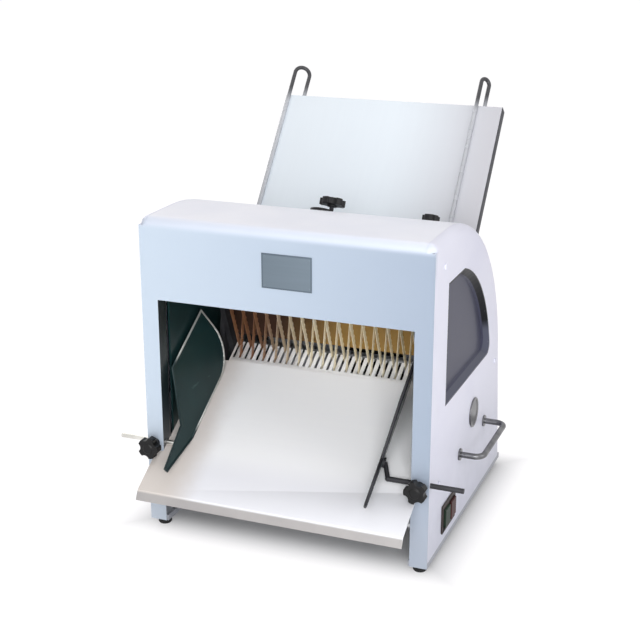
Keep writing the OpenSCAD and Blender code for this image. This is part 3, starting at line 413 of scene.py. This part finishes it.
bodyOf = {node: body for body, nodes in bodies.items() for node in nodes}


def dress(piece, look):
    piece.data.materials.clear()
    piece.data.materials.append(finishes[look].skin)


for look, nodes in wears.items():
    for node in nodes:
        dress(frame["nodes"][node], look)
print("nodes dressed:", sum(len(nodes) for nodes in wears.values()))

sharpAngle = math.radians(34)  # edges of a node's copy sharper than this are rounded, or shaded sharp
newAngle = math.radians(30)  # edges of a new piece sharper than this are rounded
flatAngle = math.radians(0.5)  # faces that meet flatter than this are joined
weld = 0.000005  # points nearer than this are one
touch = 0.0001  # faces nearer than this lie in one plane
facing = 0.9  # least part of a face's normal along the axis that it looks along


def onlyThis(piece):
    bpy.ops.object.select_all(action="DESELECT")
    piece.select_set(True)
    bpy.context.view_layer.objects.active = piece


def keep(piece, name, look, body):
    # settles a finished piece at the origin, with its place in its mesh
    onlyThis(piece)
    bpy.ops.object.transform_apply(location=True, rotation=True, scale=True)
    piece.name = name
    piece.data.name = name
    dress(piece, look)
    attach(piece, body)


def copyNode(node, name):
    # a merged copy of a node's mesh, its flat faces whole again
    piece = bpy.data.objects.new(name, frame["nodes"][node].data.copy())
    bpy.context.scene.collection.objects.link(piece)
    onlyThis(piece)
    bpy.ops.object.mode_set(mode="EDIT")
    bpy.ops.mesh.select_all(action="SELECT")
    bpy.ops.mesh.remove_doubles(threshold=weld)
    bpy.ops.mesh.dissolve_limited(angle_limit=flatAngle)
    bpy.ops.object.mode_set(mode="OBJECT")
    return piece


def roundEdges(piece, width, steps, angle=newAngle):
    rounding = piece.modifiers.new("rounded edges", "BEVEL")
    rounding.width = width
    rounding.segments = steps
    rounding.limit_method = "ANGLE"
    rounding.angle_limit = angle
    bpy.ops.object.modifier_apply(modifier=rounding.name)


def softened(node, name, look, slot, width, steps):
    # the node with its sharp edges broken by a small round
    piece = copyNode(node, name)
    roundEdges(piece, width, steps, sharpAngle)
    bpy.ops.object.shade_smooth_by_angle(angle=sharpAngle)
    even = piece.modifiers.new("even shading", "WEIGHTED_NORMAL")
    even.keep_sharp = True
    bpy.ops.object.modifier_apply(modifier=even.name)
    keep(piece, name, look, bodyOf[node])
    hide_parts(node)


# node, name of the piece, look, slot, width of the round and its steps
brokenEdges = [
    ("left_outlet_knob", "leftStarKnob", "blackPlastic", "black_plastic", 0.0022, 3),
    ("right_outlet_knob", "rightStarKnob", "blackPlastic", "black_plastic", 0.0022, 3),
    ("left_gate_knob", "leftGateKnob", "blackPlastic", "black_plastic", 0.002, 3),
    ("right_gate_knob", "rightGateKnob", "blackPlastic", "black_plastic", 0.002, 3),
    ("switch_box", "switchPlate", "switchPlastic", "black_plastic", 0.0016, 3),
    ("start_button", "startButton", "green", "start_green", 0.0014, 3),
    ("stop_button", "stopButton", "red", "stop_red", 0.0014, 3),
    ("side_cap", "sideCap", "greyRod", "machine_iron", 0.0012, 3),
    ("feet", "rubberFeet", "rubber", "rubber", 0.0015, 2),
    ("cover_screws", "coverScrews", "coverPaint", "stainless", 0.0008, 2),
    ("front_panel", "frontPanel", "panelPaint", "painted_white", 0.0006, 2),
    ("outlet_tray", "outletTray", "trayPlate", "stainless", 0.0005, 2),
]
for row in brokenEdges:
    softened(*row)
print("edges broken on", len(brokenEdges), "pieces")

# sunk and rivetOut are parts of the thickness, rivetFlat is a part of the rivet's radius
headerPlate = {
    "left": -0.0352, "right": 0.0561, "low": 0.4870, "high": 0.5478,
    "thick": 0.0012, "rim": 0.0022, "blend": 0.0008, "sunk": 0.4, "corner": 0.002, "round": 0.0003,
    "rivet": 0.0021, "rivetIn": 0.0055, "rivetOut": 0.6, "rivetFlat": 0.45,
}


# the plate's raised border, darkened by handling
def darkBorder(steel, colour):
    s = headerPlate
    across = steel.along(0) - (s["left"] + s["right"]) / 2
    up = steel.along(2) - (s["low"] + s["high"]) / 2
    beside = steel.maths("ABSOLUTE", across, 0) - (s["right"] - s["left"]) / 2
    above = steel.maths("ABSOLUTE", up, 0) - (s["high"] - s["low"]) / 2
    border = steel.between(steel.maths("MAXIMUM", beside, above), -s["rim"] - s["blend"], -s["rim"])
    return steel.mix(0.75 * border, colour, tone(82, 94, 106))


finishes["labelGrey"] = brushedSteel("labelGrey", tone(116, 129, 140), tone(98, 111, 122), 0.4,
                                     (0.05, 1, 1), 0.2, darkBorder)


def makeHeaderPlate():
    s = headerPlate
    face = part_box("front_panel")[0].y
    wide = s["right"] - s["left"]
    tall = s["high"] - s["low"]
    middle = ((s["left"] + s["right"]) / 2, face - s["thick"] / 2, (s["low"] + s["high"]) / 2)
    bpy.ops.mesh.primitive_cube_add(size=1, location=middle, scale=(wide, s["thick"], tall))
    plate = bpy.context.object
    onlyThis(plate)
    bpy.ops.object.transform_apply(location=True, rotation=True, scale=True)
    bpy.ops.object.mode_set(mode="EDIT")
    bpy.ops.mesh.select_all(action="DESELECT")
    mesh = bmesh.from_edit_mesh(plate.data)
    for edge in mesh.edges:
        start, end = (v.co for v in edge.verts)
        edge.select = abs(end.x - start.x) + abs(end.z - start.z) < weld
    mesh.select_flush_mode()
    bmesh.update_edit_mesh(plate.data)
    bpy.ops.mesh.bevel(offset=s["corner"], segments=4)
    bpy.ops.mesh.select_all(action="DESELECT")
    mesh = bmesh.from_edit_mesh(plate.data)
    for part in mesh.faces:
        part.select = part.normal.y < -facing
    bmesh.update_edit_mesh(plate.data)
    bpy.ops.mesh.inset(thickness=s["rim"])
    bpy.ops.transform.translate(value=(0, s["thick"] * s["sunk"], 0))
    bpy.ops.object.mode_set(mode="OBJECT")
    roundEdges(plate, s["round"], 2)
    for side in (-1, 1):
        for up in (-1, 1):
            x = middle[0] + side * (wide / 2 - s["rivetIn"])
            z = middle[2] + up * (tall / 2 - s["rivetIn"])
            bpy.ops.mesh.primitive_uv_sphere_add(segments=20, ring_count=10, radius=s["rivet"])
            rivet = bpy.context.object
            rivet.location = (x, face - s["thick"] * s["rivetOut"], z)
            rivet.scale = (1, s["rivetFlat"], 1)
            onlyThis(rivet)
            bpy.ops.object.transform_apply(location=True, rotation=True, scale=True)
            plate.select_set(True)
            bpy.context.view_layer.objects.active = plate
            bpy.ops.object.join()
    bpy.ops.object.shade_smooth_by_angle(angle=sharpAngle)
    keep(plate, "headerPlate", "labelGrey", "body")


makeHeaderPlate()
print("header plate made")

guideRims = [
    {"node": "left_guide_plate", "name": "leftGuideRim", "look": "rimSteel",
     "inset": 0.0017, "radius": 0.0014},
    {"node": "right_guide_plate", "name": "rightGuideRim", "look": "darkRod",
     "inset": 0.0031, "radius": 0.0028},
]


def makeGuideRim(s):
    # rolled bead round the face of a slice guide that looks to the middle
    piece = copyNode(s["node"], s["name"])
    bpy.ops.object.mode_set(mode="EDIT")
    bpy.ops.mesh.select_all(action="DESELECT")
    mesh = bmesh.from_edit_mesh(piece.data)
    inward = 1 if sum(v.co.x for v in mesh.verts) < 0 else -1
    broad = max((f for f in mesh.faces if f.normal.x * inward > 0), key=lambda f: f.calc_area())
    broad.select = True
    bmesh.update_edit_mesh(piece.data)
    bpy.ops.mesh.inset(thickness=s["inset"])
    bpy.ops.mesh.select_all(action="INVERT")
    bpy.ops.mesh.delete(type="FACE")
    bpy.ops.mesh.select_all(action="SELECT")
    bpy.ops.mesh.delete(type="ONLY_FACE")
    bpy.ops.object.mode_set(mode="OBJECT")
    bpy.ops.object.convert(target="CURVE")
    piece = bpy.context.object
    piece.data.bevel_depth = s["radius"]
    piece.data.bevel_resolution = 3
    bpy.ops.object.convert(target="MESH")
    piece = bpy.context.object
    bpy.ops.object.shade_smooth()
    keep(piece, s["name"], s["look"], bodyOf[s["node"]])


for settings in guideRims:
    makeGuideRim(settings)
print("guide rims made")

# the curved back: its middle as y and z, its radius and its sheet, and the lean of the flat below it
backFlat = {"middle": (-0.158894, 0.229), "radius": 0.361, "sheet": 0.002, "lean": 9.1}
# base, cellEdge and cellUp are parts of the thickness
ventBaffle = {
    "wide": 0.134, "tall": 0.112, "thick": 0.004, "gap": 0.0004, "down": 0.1045,
    "cells": (12, 10), "base": 0.6, "cellEdge": 0.3, "cellUp": 0.4,
}


def makeVentBaffle():
    # dark stamped baffle behind the cooling slots, embossed in small cells
    s = ventBaffle
    lean = math.radians(backFlat["lean"])
    out = backFlat["radius"] - backFlat["sheet"] - s["gap"] - s["thick"]
    y = backFlat["middle"][0] + s["down"] * math.sin(lean) + out * math.cos(lean)
    z = backFlat["middle"][1] - s["down"] * math.cos(lean) + out * math.sin(lean)
    bpy.ops.object.select_all(action="DESELECT")
    columns, rows = s["cells"]
    bpy.ops.mesh.primitive_grid_add(x_subdivisions=columns, y_subdivisions=rows, size=1)
    baffle = bpy.context.object
    baffle.scale = (s["wide"], s["tall"], 1)
    bpy.ops.object.transform_apply(location=False, rotation=False, scale=True)
    bpy.ops.object.mode_set(mode="EDIT")
    bpy.ops.mesh.select_all(action="SELECT")
    bpy.ops.mesh.extrude_region_move(TRANSFORM_OT_translate={"value": (0, 0, s["thick"] * s["base"])})
    bpy.ops.mesh.inset(thickness=s["thick"] * s["cellEdge"], use_individual=True)
    bpy.ops.transform.translate(value=(0, 0, s["thick"] * s["cellUp"]))
    bpy.ops.mesh.select_all(action="SELECT")
    bpy.ops.mesh.normals_make_consistent(inside=False)
    bpy.ops.object.mode_set(mode="OBJECT")
    baffle.location = (0, y, z)
    baffle.rotation_euler = (lean - math.radians(90), 0, 0)
    keep(baffle, "ventBaffle", "iron", "body")


makeVentBaffle()
print("vent baffle made")

# dark strips of painted shade on the outer faces of the chute's folds
chuteFlangeShade = {
    "cut": 0.47, "thick": 0.0012, "round": 0.0004,
    "sides": {"rightChuteFlangeShade": 1, "leftChuteFlangeShade": -1},
}


def makeChuteFlangeShade(name, side):
    # dark strip on the outer side of the chute's fold, above the housing, as painted shade for the
    # fold's shaded face
    s = chuteFlangeShade
    shadeStrip = copyNode("loading_chute", name)
    bpy.ops.object.mode_set(mode="EDIT")
    bpy.ops.mesh.select_mode(type="FACE")
    bpy.ops.mesh.select_all(action="DESELECT")
    mesh = bmesh.from_edit_mesh(shadeStrip.data)
    edge = max(v.co.x * side for v in mesh.verts)
    for part in mesh.faces:
        outer = part.calc_center_median().x * side > edge - touch
        if outer and part.normal.x * side > facing:
            part.select = True
    bmesh.update_edit_mesh(shadeStrip.data)
    bpy.ops.mesh.select_all(action="INVERT")
    bpy.ops.mesh.delete(type="FACE")
    bpy.ops.mesh.select_all(action="SELECT")
    bpy.ops.mesh.bisect(plane_co=(0, 0, s["cut"]), plane_no=(0, 0, 1), clear_inner=True)
    bpy.ops.mesh.select_mode(type="VERT")
    bpy.ops.object.mode_set(mode="OBJECT")
    wall = shadeStrip.modifiers.new("wall", "SOLIDIFY")
    wall.thickness = s["thick"]
    wall.offset = 1
    bpy.ops.object.modifier_apply(modifier=wall.name)
    roundEdges(shadeStrip, s["round"], 2)
    bpy.ops.object.shade_smooth_by_angle(angle=sharpAngle)
    keep(shadeStrip, name, "flangeShade", "body")


for name, side in chuteFlangeShade["sides"].items():
    makeChuteFlangeShade(name, side)
print("chute edging made")

# rim, dish and boss are parts of the radius, dishDeep and bossUp are parts of the height
gateClamp = {
    "knob": "left_gate_knob", "angle": 64.5, "left": 0.018, "gap": 0.0009,
    "radius": 0.0215, "tall": 0.0075, "round": 0.0012,
    "rim": 0.16, "dish": 0.3, "dishDeep": 0.35, "boss": 0.2, "bossUp": 0.2,
}


def makeGateClamp():
    # dished clamp plate under the left roof knob, turned to the left of its stud
    s = gateClamp
    low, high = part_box(s["knob"])
    turn = math.radians(s["angle"])
    out = backFlat["radius"] + s["gap"]
    y = backFlat["middle"][0] + out * math.cos(turn)
    z = backFlat["middle"][1] + out * math.sin(turn)
    bpy.ops.object.select_all(action="DESELECT")
    bpy.ops.mesh.primitive_cylinder_add(vertices=48, radius=s["radius"], depth=s["tall"])
    plate = bpy.context.object
    plate.location = (0, 0, s["tall"] / 2)
    onlyThis(plate)
    bpy.ops.object.transform_apply(location=True, rotation=False, scale=False)
    bpy.ops.object.mode_set(mode="EDIT")
    bpy.ops.mesh.select_all(action="DESELECT")
    mesh = bmesh.from_edit_mesh(plate.data)
    for part in mesh.faces:
        part.select = part.normal.z > facing
    bmesh.update_edit_mesh(plate.data)
    bpy.ops.mesh.inset(thickness=s["radius"] * s["rim"])
    bpy.ops.mesh.inset(thickness=s["radius"] * s["dish"])
    bpy.ops.transform.translate(value=(0, 0, -s["tall"] * s["dishDeep"]))
    bpy.ops.mesh.inset(thickness=s["radius"] * s["boss"])
    bpy.ops.transform.translate(value=(0, 0, s["tall"] * s["bossUp"]))
    bpy.ops.object.mode_set(mode="OBJECT")
    roundEdges(plate, s["round"], 3)
    bpy.ops.object.shade_smooth_by_angle(angle=sharpAngle)
    plate.location = ((low.x + high.x) / 2 - s["left"], y, z)
    plate.rotation_euler = (turn - math.radians(90), 0, 0)
    keep(plate, "gateClamp", "blackPlastic", bodyOf["gate_studs"])


makeGateClamp()
print("gate clamp made")

studio = {
    "lens": 72.73, "sensor": 36.0, "place": (0.8212, -2.17109, 1.1178), "yaw": 21.527, "pitch": 18.270,
    "worldLight": 0.3, "floor": 0.92, "floorSize": 40,
    "nearShade": 0.72, "farShade": 0.12, "farGlow": 0.98, "shadow": (0.235, 0.2), "fade": 0.115,
}
lamps = [
    {"name": "topLamp", "place": (0.1, 0.15, 2.3), "aim": (0, 0, 0.5),
     "power": 11.5, "size": 2.2, "tint": (1.0, 0.99, 0.98)},
    {"name": "sideLamp", "place": (2.5, -0.4, 1.3), "aim": (0.26, 0, 0.3),
     "power": 14.0, "size": 1.4, "tint": (0.99, 0.98, 1.0)},
    {"name": "frontLamp", "place": (0.7, -2.1, 0.9), "aim": (0, -0.2, 0.25),
     "power": 40.0, "size": 1.5, "tint": (0.98, 0.99, 1.0)},
    {"name": "backLamp", "place": (-2.1, 1.3, 1.6), "aim": (0, 0, 0.35),
     "power": 20.0, "size": 1.4, "tint": (1.0, 0.99, 0.99)},
]


def makeCamera():
    s = studio
    eye = bpy.data.cameras.new("photoCamera")
    eye.lens = s["lens"]
    eye.sensor_width = s["sensor"]
    camera = bpy.data.objects.new("photoCamera", eye)
    camera.location = s["place"]
    camera.rotation_euler = (math.radians(90 - s["pitch"]), 0, math.radians(s["yaw"]))
    bpy.context.scene.collection.objects.link(camera)
    bpy.context.scene.camera = camera


def seenRay(finish):
    # 1 where the ray comes from the camera, a mirror or a clear sheet
    rays = ("Is Camera Ray", "Is Glossy Ray", "Is Transmission Ray")
    camera, glossy, clear = (finish.node("ShaderNodeLightPath", out=ray) for ray in rays)
    return finish.maths("MAXIMUM", finish.maths("MAXIMUM", camera, glossy), clear)


def mattFloor(ground, shade):
    return ground.node("ShaderNodeBsdfDiffuse", None, {"Color": (shade, shade, shade * 1.01, 1)})


def makeFloor():
    # the floor lights the object as pale paint does
    # seen directly it is matt round the object, where its shadow falls, and glows white farther out
    s = studio
    bpy.ops.object.select_all(action="DESELECT")
    bpy.ops.mesh.primitive_plane_add(size=s["floorSize"], location=(0, 0, 0))
    floor = bpy.context.object
    floor.name = "studioFloor"
    ground = Finish("studioFloor", Specular_IOR_Level=0.0, Roughness=0.95)
    dapple = ground.noise(0.6, 2.0, 0.5)
    pale = s["floor"]
    greyer = pale * 0.99
    ground.wear(Base_Color=ground.mix(dapple, (pale, pale, pale, 1), (greyer, greyer, pale, 1)))
    beside = ground.maths("ABSOLUTE", ground.along(0), 0) - s["shadow"][0]
    before = ground.maths("ABSOLUTE", ground.along(1), 0) - s["shadow"][1]
    away = ground.between(ground.maths("MAXIMUM", beside, before), 0.0, s["fade"])
    near = mattFloor(ground, s["nearShade"])
    glow = ground.node("ShaderNodeEmission", None, {"Color": (1, 0.99, 1, 1), "Strength": s["farGlow"]})
    far = ground.node("ShaderNodeAddShader", None, {0: mattFloor(ground, s["farShade"]), 1: glow})
    shown = ground.node("ShaderNodeMixShader", None, {0: away, 1: near, 2: far})
    paint = Value(ground, ground.shader.outputs[0])
    look = ground.node("ShaderNodeMixShader", None, {0: seenRay(ground), 1: paint, 2: shown})
    ground.feed(ground.tree.nodes["Material Output"].inputs["Surface"], look)
    floor.data.materials.append(ground.skin)


def makeWorld():
    # white where it is seen, dimmer as a light
    world = bpy.data.worlds.new("studioWorld")
    world.use_nodes = True
    bpy.context.scene.world = world
    nodes = world.node_tree.nodes
    links = world.node_tree.links
    path = nodes.new("ShaderNodeLightPath")
    seen = path.outputs["Is Camera Ray"]
    for ray in ("Is Glossy Ray", "Is Transmission Ray"):
        either = nodes.new("ShaderNodeMath")
        either.operation = "MAXIMUM"
        links.new(seen, either.inputs[0])
        links.new(path.outputs[ray], either.inputs[1])
        seen = either.outputs[0]
    level = nodes.new("ShaderNodeMix")
    links.new(seen, level.inputs[0])
    level.inputs[2].default_value = studio["worldLight"]
    level.inputs[3].default_value = 1.0
    sky = nodes["Background"]
    sky.inputs["Color"].default_value = (1, 1, 1, 1)
    links.new(level.outputs[0], sky.inputs["Strength"])


def makeLamp(s):
    glow = bpy.data.lights.new(s["name"], "AREA")
    glow.energy = s["power"]
    glow.size = s["size"]
    glow.color = s["tint"]
    lamp = bpy.data.objects.new(s["name"], glow)
    lamp.location = s["place"]
    lamp.rotation_euler = (Vector(s["aim"]) - Vector(s["place"])).to_track_quat("-Z", "Y").to_euler()
    bpy.context.scene.collection.objects.link(lamp)


bpy.context.scene.view_settings.view_transform = "Standard"
makeCamera()
makeFloor()
makeWorld()
for settings in lamps:
    makeLamp(settings)
print("studio set")
